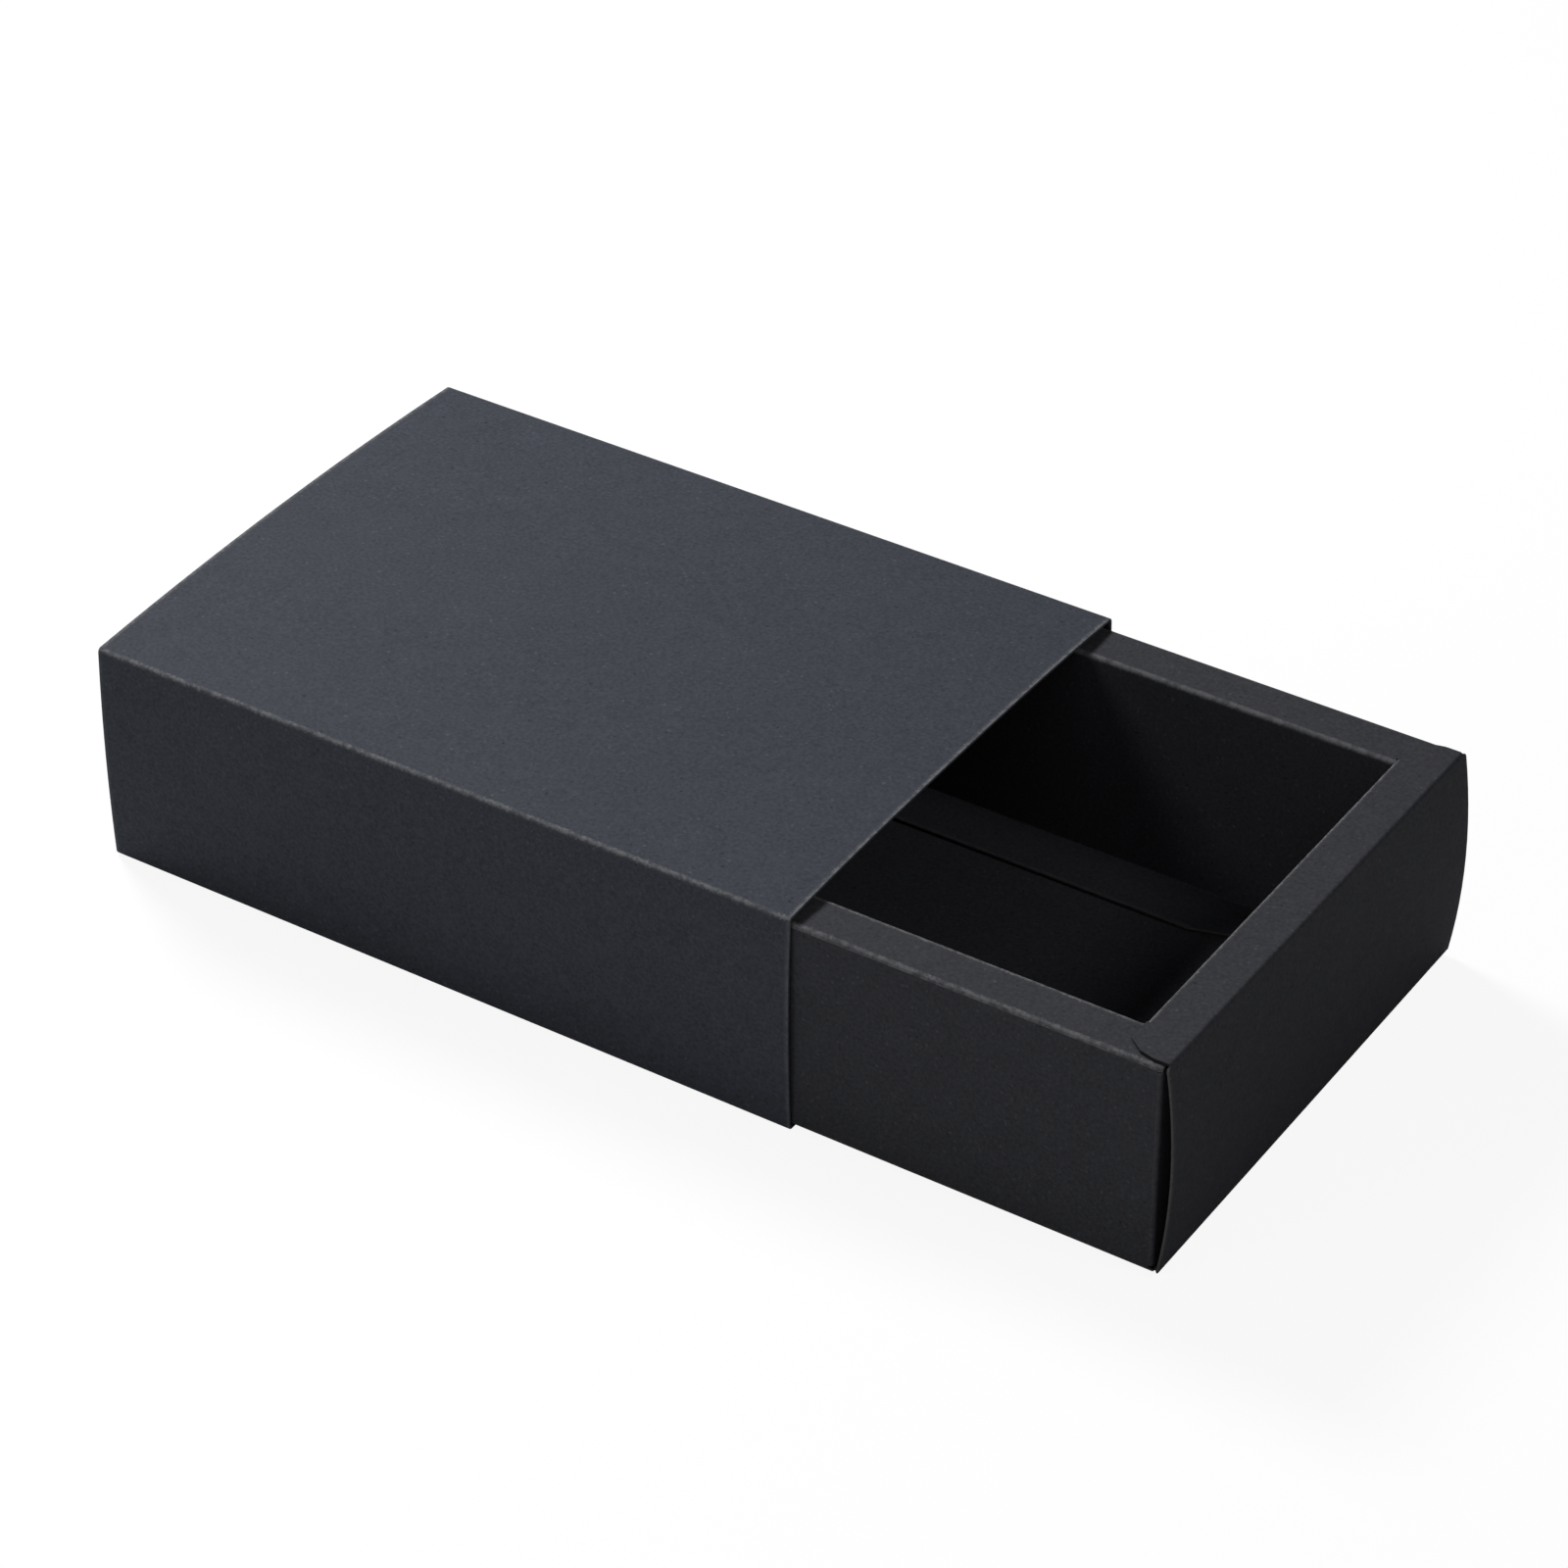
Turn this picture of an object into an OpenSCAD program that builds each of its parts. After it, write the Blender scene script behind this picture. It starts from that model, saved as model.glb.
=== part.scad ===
// Sliding drawer gift box of folded card: an open-ended sleeve and a tray with hollow walls.
// Each die-cut panel is a solid of its own, and neighbours meet face to face in the middle
// of the fold they share. The tray is drawn pulled part of the way out of the sleeve.
// +X is the way the tray pulls out, +Z is up, and the origin is at the centre of the
// sleeve's underside. "Near" is the -Y side and "far" the +Y side.

/* [Card] */
// Thickness of the card
card_t = 1; // [0.6:0.1:1.4]
// Outer radius of every fold
fold_r = 1.5; // [1.5:0.1:2.4]

/* [Sleeve] */
// Length of the sleeve from mouth to mouth
sleeve_l = 275; // [220:5:360]
// Width of the sleeve over its side creases
sleeve_w = 200; // [150:5:260]
// Height of the sleeve at its top creases
sleeve_h = 85; // [50:1:120]
// Rise of the top panel above its creases
crown = 3; // [0:0.5:6]
// Swell of each side panel beyond its creases
side_swell = 1.1; // [0:0.1:2.5]
// Height of the glue flap behind the far side panel
glue_flap_h = 16; // [10:1:24]
// Angle by which the ends of the glue flap are cut back
glue_flap_cut = 15; // [5:1:30]
// Thickness of the glue line
glue_t = 0.1; // [0.1:0.1:0.3]
// Height of the seam's cut edge above the underside
seam_lift = 0.3; // [0.2:0.1:1]

/* [Tray] */
// Distance that the tray is pulled out
pull_out = 136; // [0:1:240]
// Distance of the shut tray's end creases inside the mouths
mouth_inset = 1.5; // [0:0.5:5]
// Gap between the tray and each side of the sleeve
side_gap = 0.5; // [0.4:0.1:1.5]
// Gap between the tray and the bottom of the sleeve
lift_gap = 0.4; // [0.3:0.1:1]
// Drop from the sleeve's top creases to the tray's end rims
rim_drop = 1.4; // [1.4:0.1:8]
// Swell of each end wall beyond its creases
end_swell = 3.4; // [0:0.1:5]

/* [Tray walls] */
// Width of the rims at both ends
end_rim_w = 17.1; // [14:0.1:20]
// Width of the near side rim
near_rim_w = 17; // [14:0.1:22]
// Width of the far side rim
far_rim_w = 17.5; // [14:0.1:22]
// Width of the flaps that lie on the floor
floor_flap_w = 21.4; // [12:0.2:26]
// Angle by which the floor flaps spring up
flap_spring = 2; // [0:0.5:4]
// Gap under the floor flaps at their fold
flap_gap = 0.1; // [0.1:0.1:0.5]
// Distance of the side walls' ends behind the end creases
end_setback = 2.3; // [1.6:0.1:4]
// Gap left where cut edges come together inside the tray
cut_gap = 0.4; // [0.3:0.1:1]

/* [Corner flaps and tongues] */
// Length of the dust flaps at the ends of the side walls
dust_flap_l = 45; // [25:1:60]
// Angle by which the edges of the dust flaps are cut back
dust_flap_cut = 5; // [1:1:12]
// Clearance of the dust flaps above the floor and under the rims
dust_flap_gap = 0.6; // [0.6:0.1:3]
// Distance of the end rims' tongues from the outside of the tray
tongue_inset = 1.7; // [0.8:0.1:3]
// Length of the straight side of a tongue
tongue_side = 6; // [4:0.5:9]
// Radius of the rounded corner of a tongue
tongue_r = 14; // [13:0.5:24]
// Gap between a tongue and the side rim under it
tongue_gap = 0.3; // [0.1:0.1:0.6]
// Length of the slanted end of a side floor flap
flap_slant = 59; // [30:1:80]
// Width of a side floor flap at its very end
flap_tip_w = 2; // [1:0.5:6]

/* [Hidden] */

sleeve_color = "#484b53";
tray_color = "#34353a";

// Straight pieces of a swelling panel, and of half a fold
swell_steps = 20;
fold_steps = 4;
arc_steps = 16;

// A fold's middle radius, and a blade that is thicker than any panel or wall
fold_mid = fold_r - card_t / 2;
blade = 4 * sleeve_h;

// The tray's half sizes at its creases, its centre and its levels
tray_half_l = sleeve_l / 2 - mouth_inset;
tray_half_w = (sleeve_w - 3 * card_t - glue_t) / 2 - side_gap;
tray_y = -(card_t + glue_t) / 2;
tray_bottom = card_t + lift_gap;
end_top = sleeve_h - rim_drop;
side_top = end_top - card_t - tongue_gap;
floor_top = tray_bottom + card_t;

// The space between the inner walls, measured from the tray's centre
room_half_l = tray_half_l - end_rim_w;
room_near = tray_half_w - near_rim_w;
room_far = tray_half_w - far_rim_w;

// The side walls end behind the end walls, and the side inner walls at the dust flaps
side_half_l = tray_half_l - end_setback;
side_inner_half_l = side_half_l - card_t - cut_gap;
side_flap_half_l = room_half_l - cut_gap;

// ---- Strips of card along a bent line ----
// A station on the middle line of a strip is [across, up, heading], and an arc is
// [length, turn to the left, number of straight pieces].

// Length of an arc over a chord that leans by the given angle at each end
function arc_length(chord, lean) = lean == 0 ? chord : chord * lean * PI / 180 / sin(lean);

// Lean at the ends of a panel that swells in the middle
function lean_of(chord, swell) = 2 * atan(2 * swell / chord);

function straight(length) = [length, 0, 1];
function part_of(arc, share) = [arc[0] * share, arc[1] * share, arc[2]];
function swelling(chord, lean) = [arc_length(chord, lean), 2 * lean, swell_steps];
function fold(turn) = [fold_mid * abs(turn) * PI / 180, turn, fold_steps];

// Station reached from s along an arc
function move_on(s, arc) =
    let (length = arc[0], turn = arc[1])
    turn == 0
    ? [s.x + length * cos(s.z), s.y + length * sin(s.z), s.z]
    : let (r = length / (turn * PI / 180))
      [s.x + r * (sin(s.z + turn) - sin(s.z)), s.y - r * (cos(s.z + turn) - cos(s.z)), s.z + turn];

// Station at the end of a chain of arcs
function end_of(s, arcs, i = 0) = i == len(arcs) ? s : end_of(move_on(s, arcs[i]), arcs, i + 1);

// Stations all along a chain of arcs
function trace(s, arcs, i = 0) =
    i == len(arcs)
    ? [s]
    : concat([for (k = [0 : arcs[i][2] - 1]) move_on(s, part_of(arcs[i], k / arcs[i][2]))],
             trace(move_on(s, arcs[i]), arcs, i + 1));

// The same station in a mirror, for a strip that starts on the left and runs to the right
function mirrored(s) = [-s.x, s.y, -s.z];

// Points at one side of a line of stations, at distance d to its left
function beside(line, d) = [for (s = line) [s.x - d * sin(s.z), s.y + d * cos(s.z)]];

function backwards(list) = [for (i = [len(list) - 1 : -1 : 0]) list[i]];

// Section of the strip of card along a chain of arcs
module strip(s, arcs) {
    line = trace(s, arcs);
    polygon(concat(beside(line, card_t / 2), backwards(beside(line, -card_t / 2))));
}

// A section in Y and Z that runs along X, and a section in X and Z that runs along Y
module along_x(half) {
    rotate([90, 0, 90]) translate([0, 0, -half]) linear_extrude(2 * half) children();
}

module along_y(low, high) {
    translate([0, high, 0]) rotate([90, 0, 0]) linear_extrude(high - low) children();
}

// An outline in X and Y that cuts through the full height
module plan_cut() {
    translate([0, 0, -blade / 2]) linear_extrude(blade) children();
}

// ---- Sleeve: one strip round the tray, from the near side over the top to the seam ----
side_lean = lean_of(sleeve_h, side_swell);
top_lean = lean_of(sleeve_w, crown);
bottom_turn = 90 - side_lean;
top_turn = 90 - side_lean - top_lean;

// The far half of the section, from the foot of the bottom fold to the top fold
bottom_foot = [sleeve_w / 2 - fold_r, card_t / 2, 0];
side_foot = move_on(bottom_foot, fold(bottom_turn));
side_rise = sleeve_h - side_foot.y - fold_r * tan(top_turn / 2) * cos(side_lean);
side_arc = swelling(side_rise, side_lean);
side_start = move_on(bottom_foot, fold(bottom_turn / 2));
side_head = move_on(side_foot, side_arc);
top_start = move_on(side_head, fold(top_turn / 2));
top_foot = move_on(side_head, fold(top_turn));

// The seam: the far side panel stops just off the table, and the glue flap stands inside it
seam_rise = (side_foot.y - seam_lift) / sin(bottom_turn);
seam_start = move_on(side_foot, straight(-seam_rise));
flap_shift = (card_t + glue_t) / cos(side_lean);
flap_start = side_start - [flap_shift, 0, 0];

module sleeve_bottom_panel() {
    color(sleeve_color) along_x(sleeve_l / 2)
        strip(mirrored(side_start), [
            fold(bottom_turn / 2),
            straight(2 * bottom_foot.x - flap_shift),
            fold(bottom_turn / 2)
        ]);
}

module sleeve_near_side_panel() {
    color(sleeve_color) along_x(sleeve_l / 2) mirror([1, 0])
        strip(side_start, [fold(bottom_turn / 2), side_arc, fold(top_turn / 2)]);
}

module sleeve_top_panel() {
    color(sleeve_color) along_x(sleeve_l / 2)
        strip(top_start, [
            fold(top_turn / 2), swelling(2 * top_foot.x, top_lean), fold(top_turn / 2)
        ]);
}

module sleeve_far_side_panel() {
    color(sleeve_color) along_x(sleeve_l / 2)
        strip(seam_start, [straight(seam_rise), side_arc, fold(top_turn / 2)]);
}

// The glue flap stands on the bottom panel's far fold, with both ends cut back
module sleeve_glue_flap() {
    half_l = sleeve_l / 2;
    top_half_l = half_l - glue_flap_h * tan(glue_flap_cut);
    flap_top = side_foot.y + glue_flap_h;
    flap_arc = part_of(side_arc, glue_flap_h / side_rise);
    color(sleeve_color) intersection() {
        along_x(half_l) strip(flap_start, [fold(bottom_turn / 2), flap_arc]);
        along_y(0, sleeve_w)
            polygon([
                [-half_l, 0], [half_l, 0], [half_l, side_foot.y],
                [top_half_l, flap_top], [-top_half_l, flap_top], [-half_l, side_foot.y]
            ]);
    }
}

// ---- Tray walls: outer wall, rim, inner wall and floor flap in one chain of folds ----
// Each wall is drawn as a section with the tray's centre at zero and its outside to the right.

function wall_lean(top, swell) = lean_of(top - tray_bottom, swell);
function wall_foot(half) = [half - fold_r, tray_bottom + card_t / 2, 0];
function outer_arcs(top, lean) =
    let (chord = top - tray_bottom - card_t - 2 * fold_mid * (1 - sin(lean)))
    [fold((90 - lean) / 2), swelling(chord, lean), fold((90 - lean) / 2)];
function rim_arcs(rim_w, lean) = [fold((90 - lean) / 2), straight(rim_w - 2 * fold_r), fold(45)];
function inner_arcs(top) = [
    fold(45),
    straight(top - floor_top - flap_gap - card_t - 2 * fold_mid),
    fold(-(90 + flap_spring) / 2)
];
function flap_arcs() = [fold(-(90 + flap_spring) / 2), straight(floor_flap_w)];

function outer_start(half, lean) = move_on(wall_foot(half), fold((90 - lean) / 2));
function rim_start(half, top, lean) = end_of(outer_start(half, lean), outer_arcs(top, lean));
function inner_start(half, top, lean, rim_w) =
    end_of(rim_start(half, top, lean), rim_arcs(rim_w, lean));
function flap_root(half, top, lean, rim_w) =
    end_of(inner_start(half, top, lean, rim_w), inner_arcs(top));

// Moves a part from the tray's centre to where the tray stands
module in_tray() {
    translate([pull_out, tray_y, 0]) children();
}

// Turns a far side part into a near one, and a front part into a back one
module to_near() {
    mirror([0, 1, 0]) children();
}

module to_back() {
    mirror([1, 0, 0]) children();
}

end_lean = wall_lean(end_top, end_swell);

// Section of the floor between two opposite walls, with half of the fold at each end
module floor_strip(half, lean) {
    strip(mirrored(outer_start(half, lean)), [
        fold((90 - lean) / 2), straight(2 * (half - fold_r)), fold((90 - lean) / 2)
    ]);
}

// The floor reaches every wall, with a notch at each corner between the folds
module floor_panel() {
    color(tray_color) {
        along_x(side_half_l) floor_strip(tray_half_w, 0);
        along_y(-tray_half_w + fold_r, tray_half_w - fold_r) floor_strip(tray_half_l, end_lean);
    }
}

// ---- Sides of the tray ----

// Levels of a dust flap's fold, clear of the floor's and the rim's folds
dust_low = tray_bottom + fold_r + dust_flap_gap;
dust_high = side_top - fold_r - dust_flap_gap;

// Where a dust flap's fold starts on the side wall, and its middle, seen from above
dust_fold_start = [side_half_l - fold_r, tray_half_w - card_t / 2, 0];
dust_fold_middle = move_on(dust_fold_start, fold(-45));

// Half of a dust flap's upright fold
module dust_fold(start) {
    translate([0, 0, dust_low]) linear_extrude(dust_high - dust_low) strip(start, [fold(-45)]);
}

// A side wall's bottom and top folds run on past the upright folds at both ends of it
module side_outer_wall() {
    start = outer_start(tray_half_w, 0);
    arcs = outer_arcs(side_top, 0);
    top_fold = end_of(start, [arcs[0], arcs[1]]);
    color(tray_color) {
        along_x(side_half_l - fold_r) strip(start, arcs);
        along_x(side_half_l) strip(start, [arcs[0]]);
        along_x(side_half_l) strip(top_fold, [arcs[2]]);
        dust_fold(dust_fold_start);
        to_back() dust_fold(dust_fold_start);
    }
}

// A side rim is as long as its wall's top fold
module side_rim(rim_w) {
    color(tray_color) along_x(side_half_l)
        strip(rim_start(tray_half_w, side_top, 0), rim_arcs(rim_w, 0));
}

module side_inner_wall(rim_w) {
    color(tray_color) intersection() {
        along_x(side_inner_half_l)
            strip(inner_start(tray_half_w, side_top, 0, rim_w), inner_arcs(side_top));
        along_y(0, tray_half_w) inner_wall_outline();
    }
}

// The side inner walls are notched beside the end inner walls' floor folds
module inner_wall_outline() {
    notch_top = floor_top + 2 * fold_r;
    polygon([
        [-side_flap_half_l, 0], [side_flap_half_l, 0],
        [side_flap_half_l, notch_top], [side_inner_half_l, notch_top],
        [side_inner_half_l, blade], [-side_inner_half_l, blade],
        [-side_inner_half_l, notch_top], [-side_flap_half_l, notch_top]
    ]);
}

module side_floor_flap(rim_w) {
    room = tray_half_w - rim_w;
    color(tray_color) intersection() {
        along_x(side_flap_half_l)
            strip(flap_root(tray_half_w, side_top, 0, rim_w), flap_arcs());
        plan_cut()
            polygon([
                [-side_flap_half_l, room + card_t],
                [-side_flap_half_l, room - flap_tip_w],
                [-side_flap_half_l + flap_slant, room - floor_flap_w],
                [side_flap_half_l - flap_slant, room - floor_flap_w],
                [side_flap_half_l, room - flap_tip_w],
                [side_flap_half_l, room + card_t]
            ]);
    }
}

// A dust flap turns inwards behind the end wall, with its top and bottom edges cut back
module dust_flap() {
    tip_y = tray_half_w - dust_flap_l;
    cut = dust_flap_l * tan(dust_flap_cut);
    color(tray_color) {
        dust_fold(dust_fold_middle);
        translate([side_half_l - card_t, 0, 0]) rotate([90, 0, 90]) linear_extrude(card_t)
            polygon([
                [tray_half_w - fold_r, dust_low], [tray_half_w - fold_r, dust_high],
                [tip_y, dust_high - cut], [tip_y, dust_low + cut]
            ]);
    }
}

// ---- Ends of the tray ----

// Points on a quarter of a circle that starts in the given direction
function quarter(centre, r, start) =
    [for (k = [0 : fold_steps])
        let (a = start + 90 * k / fold_steps) centre + r * [cos(a), sin(a)]];

// Outline of an end wall seen from its front: the bottom corners are rounded like the
// sides' folds, and the top corners down to the sides of the tongues
function end_wall_outline() =
    let (low = [tray_half_w - fold_r, tray_bottom + fold_r],
         high = [tray_half_w - tongue_inset, end_top - fold_r / 2 - tongue_inset],
         side = concat([[low.x, 0]], quarter(low, fold_r, -90), quarter(high, tongue_inset, 0),
                       [[high.x, blade]]))
    concat(side, [for (p = backwards(side)) [-p.x, p.y]]);

module end_outer_wall() {
    color(tray_color) intersection() {
        along_y(-sleeve_w, sleeve_w)
            strip(outer_start(tray_half_l, end_lean), outer_arcs(end_top, end_lean));
        along_x(sleeve_l) polygon(end_wall_outline());
    }
}

// Ends of the end inner walls, which stand between the side inner walls
inner_near = -room_near + cut_gap;
inner_far = room_far - cut_gap;

// Outline of a tongue seen from above: a straight side, then a rounded corner
function tongue_outline() =
    let (centre = [tray_half_l - tongue_side, tray_half_w - tongue_inset - tongue_r],
         sweep = asin((end_rim_w - tongue_side) / tongue_r))
    concat([[room_half_l, 0], [tray_half_l, 0], [tray_half_l, tray_half_w - tongue_inset]],
           [for (k = [0 : arc_steps])
               centre + tongue_r * [-sin(sweep * k / arc_steps), cos(sweep * k / arc_steps)]]);

// An end rim runs on past the inner wall as a flat tongue over each side rim
module end_rim() {
    start = rim_start(tray_half_l, end_top, end_lean);
    flat_arcs = [fold((90 - end_lean) / 2), straight(end_rim_w)];
    color(tray_color) {
        along_y(inner_near, inner_far) strip(start, rim_arcs(end_rim_w, end_lean));
        intersection() {
            along_y(inner_far, tray_half_w) strip(start, flat_arcs);
            plan_cut() polygon(tongue_outline());
        }
        intersection() {
            along_y(-tray_half_w, inner_near) strip(start, flat_arcs);
            plan_cut() mirror([0, 1]) polygon(tongue_outline());
        }
    }
}

module end_inner_wall() {
    color(tray_color) along_y(inner_near, inner_far)
        strip(inner_start(tray_half_l, end_top, end_lean, end_rim_w), inner_arcs(end_top));
}

// The ends of an end floor flap are slanted to clear the side floor flaps
module end_floor_flap() {
    slope = (floor_flap_w - flap_tip_w) / flap_slant;
    near_root = inner_near + flap_tip_w + cut_gap;
    far_root = inner_far - flap_tip_w - cut_gap;
    edge = room_half_l - floor_flap_w;
    color(tray_color) intersection() {
        along_y(inner_near, inner_far)
            strip(flap_root(tray_half_l, end_top, end_lean, end_rim_w), flap_arcs());
        plan_cut()
            polygon([
                [room_half_l + card_t, near_root], [room_half_l, near_root],
                [edge, near_root + slope * floor_flap_w], [edge, far_root - slope * floor_flap_w],
                [room_half_l, far_root], [room_half_l + card_t, far_root]
            ]);
    }
}

// ---- The tray's pieces in their places ----
module tray_floor() in_tray() floor_panel();
module tray_near_outer_wall() in_tray() to_near() side_outer_wall();
module tray_near_rim() in_tray() to_near() side_rim(near_rim_w);
module tray_near_inner_wall() in_tray() to_near() side_inner_wall(near_rim_w);
module tray_near_floor_flap() in_tray() to_near() side_floor_flap(near_rim_w);
module tray_far_outer_wall() in_tray() side_outer_wall();
module tray_far_rim() in_tray() side_rim(far_rim_w);
module tray_far_inner_wall() in_tray() side_inner_wall(far_rim_w);
module tray_far_floor_flap() in_tray() side_floor_flap(far_rim_w);
module tray_front_outer_wall() in_tray() end_outer_wall();
module tray_front_rim() in_tray() end_rim();
module tray_front_inner_wall() in_tray() end_inner_wall();
module tray_front_floor_flap() in_tray() end_floor_flap();
module tray_back_outer_wall() in_tray() to_back() end_outer_wall();
module tray_back_rim() in_tray() to_back() end_rim();
module tray_back_inner_wall() in_tray() to_back() end_inner_wall();
module tray_back_floor_flap() in_tray() to_back() end_floor_flap();
module near_front_dust_flap() in_tray() to_near() dust_flap();
module near_back_dust_flap() in_tray() to_near() to_back() dust_flap();
module far_front_dust_flap() in_tray() dust_flap();
module far_back_dust_flap() in_tray() to_back() dust_flap();

sleeve_bottom_panel();
sleeve_near_side_panel();
sleeve_top_panel();
sleeve_far_side_panel();
sleeve_glue_flap();
tray_floor();
tray_near_outer_wall();
tray_near_rim();
tray_near_inner_wall();
tray_near_floor_flap();
tray_far_outer_wall();
tray_far_rim();
tray_far_inner_wall();
tray_far_floor_flap();
tray_front_outer_wall();
tray_front_rim();
tray_front_inner_wall();
tray_front_floor_flap();
tray_back_outer_wall();
tray_back_rim();
tray_back_inner_wall();
tray_back_floor_flap();
near_front_dust_flap();
near_back_dust_flap();
far_front_dust_flap();
far_back_dust_flap();
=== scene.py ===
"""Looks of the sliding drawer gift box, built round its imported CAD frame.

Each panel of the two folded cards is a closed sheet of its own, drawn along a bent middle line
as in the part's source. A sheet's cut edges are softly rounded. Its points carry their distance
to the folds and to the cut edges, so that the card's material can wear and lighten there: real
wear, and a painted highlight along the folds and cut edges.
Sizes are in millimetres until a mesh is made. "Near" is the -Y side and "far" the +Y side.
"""

import math

import bpy
import numpy as np
from mathutils import Matrix, Vector


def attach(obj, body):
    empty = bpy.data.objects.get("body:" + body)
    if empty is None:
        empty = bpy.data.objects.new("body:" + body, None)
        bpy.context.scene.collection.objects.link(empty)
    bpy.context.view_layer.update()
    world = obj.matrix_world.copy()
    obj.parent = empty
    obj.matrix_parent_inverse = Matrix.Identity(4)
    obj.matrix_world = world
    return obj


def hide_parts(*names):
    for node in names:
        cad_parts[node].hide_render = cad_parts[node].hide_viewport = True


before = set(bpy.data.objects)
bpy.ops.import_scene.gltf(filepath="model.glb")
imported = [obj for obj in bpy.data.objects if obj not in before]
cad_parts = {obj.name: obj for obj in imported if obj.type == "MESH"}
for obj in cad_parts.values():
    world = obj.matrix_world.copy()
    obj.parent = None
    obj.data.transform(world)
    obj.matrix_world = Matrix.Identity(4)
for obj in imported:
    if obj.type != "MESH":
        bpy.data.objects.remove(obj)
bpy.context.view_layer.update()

MM = 0.001

# ---- Sizes, the same values as in the part's source ----
CARD_T = 1.0
FOLD_R = 1.5
FOLD_MID = FOLD_R - CARD_T / 2

SLEEVE_L = 275.0
SLEEVE_W = 200.0
SLEEVE_H = 85.0
CROWN = 3.0
SIDE_SWELL = 1.1
GLUE_FLAP_H = 16.0
GLUE_FLAP_CUT = 15.0
GLUE_T = 0.1
SEAM_LIFT = 0.3

PULL_OUT = 136.0
MOUTH_INSET = 1.5
SIDE_GAP = 0.5
LIFT_GAP = 0.4
RIM_DROP = 1.4
END_SWELL = 3.4
END_RIM_W = 17.1
NEAR_RIM_W = 17.0
FAR_RIM_W = 17.5
FLOOR_FLAP_W = 21.4
FLAP_SPRING = 2.0
FLAP_GAP = 0.1
END_SETBACK = 2.3
CUT_GAP = 0.4
DUST_FLAP_L = 45.0
DUST_FLAP_CUT = 5.0
DUST_FLAP_GAP = 0.6
TONGUE_INSET = 1.7
TONGUE_SIDE = 6.0
TONGUE_R = 14.0
TONGUE_GAP = 0.3
FLAP_SLANT = 59.0
FLAP_TIP_W = 2.0

TRAY_HALF_L = SLEEVE_L / 2 - MOUTH_INSET
TRAY_HALF_W = (SLEEVE_W - 3 * CARD_T - GLUE_T) / 2 - SIDE_GAP
TRAY_Y = -(CARD_T + GLUE_T) / 2
TRAY_BOTTOM = CARD_T + LIFT_GAP
END_TOP = SLEEVE_H - RIM_DROP
SIDE_TOP = END_TOP - CARD_T - TONGUE_GAP
FLOOR_TOP = TRAY_BOTTOM + CARD_T
ROOM_HALF_L = TRAY_HALF_L - END_RIM_W
ROOM_NEAR = TRAY_HALF_W - NEAR_RIM_W
ROOM_FAR = TRAY_HALF_W - FAR_RIM_W
SIDE_HALF_L = TRAY_HALF_L - END_SETBACK
SIDE_INNER_HALF_L = SIDE_HALF_L - CARD_T - CUT_GAP
SIDE_FLAP_HALF_L = ROOM_HALF_L - CUT_GAP

# ---- Looks ----
EDGE_R = 0.28            # rounding of a cut edge
FOLD_STEP = 6.0          # degrees of a fold between two rows of points
RUN_STEP = 7.0           # length of flat card between two rows of points
COLUMN_STEP = 9.0        # the same along the fold
LONGEST_FOLD = 3 * FOLD_R    # a longer arc is a panel
FAR_AWAY = 999.0         # a distance at which nothing wears
RIM_RUN_ON = 0.9         # how far an end rim's fold runs on over the side rims' inner folds
CROWN_DROP = 0.45        # how much flatter the sleeve's top is at its mouth than at its back

SLEEVE_FACE = (0.0608, 0.0680, 0.0866)
# Worn colour: card wear together with a painted highlight along the folds and cut edges
SLEEVE_WEAR_HIGHLIGHT = (0.225, 0.228, 0.240)
SLEEVE_CORE = (0.098, 0.102, 0.112)
TRAY_FACE = (0.0514, 0.0530, 0.0620)
# Worn colour: card wear together with a painted highlight along the folds and cut edges
TRAY_WEAR_HIGHLIGHT = (0.204, 0.205, 0.213)
TRAY_CORE = (0.104, 0.104, 0.107)
TONGUE_EDGE_SHADE = 0.22       # painted shade: a tongue's cut edge is darkened to this share of the core's tone elsewhere, for the shadow line under the tongue

# Wear and painted highlight of a sheet at its first fold, at its last fold and along its cut edges,
# from 0 to 1
NO_WEAR_HIGHLIGHT = (0.0, 0.0, 0.0)
SLIGHT = (0.15, 0.15, 0.2)
RIM_WEAR_HIGHLIGHT_SPREAD = 0.45   # how far the wear and painted highlight of a side rim's inner fold reach on to the rim
WEAR_HIGHLIGHT_RAGGED = 1.7        # how far the border of the wear and painted highlight wanders
CUT_RAGGED = 1.3         # the same along cut edges, against the folds
FOLD_FADE = (-0.62, 0.24)    # distances past a fold's end between which its wear and painted highlight fade out
CUT_FADE = (0.3, 1.9)        # the same from a cut edge
PATCH_SCALE = 0.35           # patches in which the wear and painted highlight are stronger or weaker, per millimetre
PATCH_FADE = (0.34, 0.62)
PATCH_LEAST = 0.30

# Layers of the card's tone: spots per millimetre, detail, roughness and share of the tone
TONE_LAYERS = {
    "grain": (1.9, 2.0, 0.6, 0.56),
    "mottle": (0.75, 2.0, 0.6, 1.05),
    "cloud": (0.12, 2.0, 0.5, 0.22),
    "broad": (0.017, 1.0, 0.5, 0.10),
}
FIBRE_STRETCH = (0.5, 2.6, 2.6)
FIBRE_SHARE = 0.22
FLECK_SCALE = 0.55
FLECK_SHARE = 0.95
FLECK_BALANCE = 0.42     # below it a fleck is darker than the card, above it paler
FLECK_TINY = 0.45        # share of the flecks that have the smallest size
FLECK_SIZES = (0.04, 0.36)
FLECK_FADE = (-0.12, 0.05)
BARE_FADE = (0.5, 0.95)      # how far round a cut edge the skin gives way to the core
CORE_FIBRES = (0.3, 0.7, 0.8, 1.15)
CARD_ROUGHNESS = 0.70
GRAIN_ROUGHNESS = 0.16   # added by the grain
BARE_ROUGHNESS = 0.1     # added on the core
CARD_SPECULAR = 0.25
GRAIN_HEIGHT = 0.6
FIBRE_HEIGHT = 0.4
BUMP_STRENGTH = 0.5
BUMP_DEPTH = 0.0001

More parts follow.
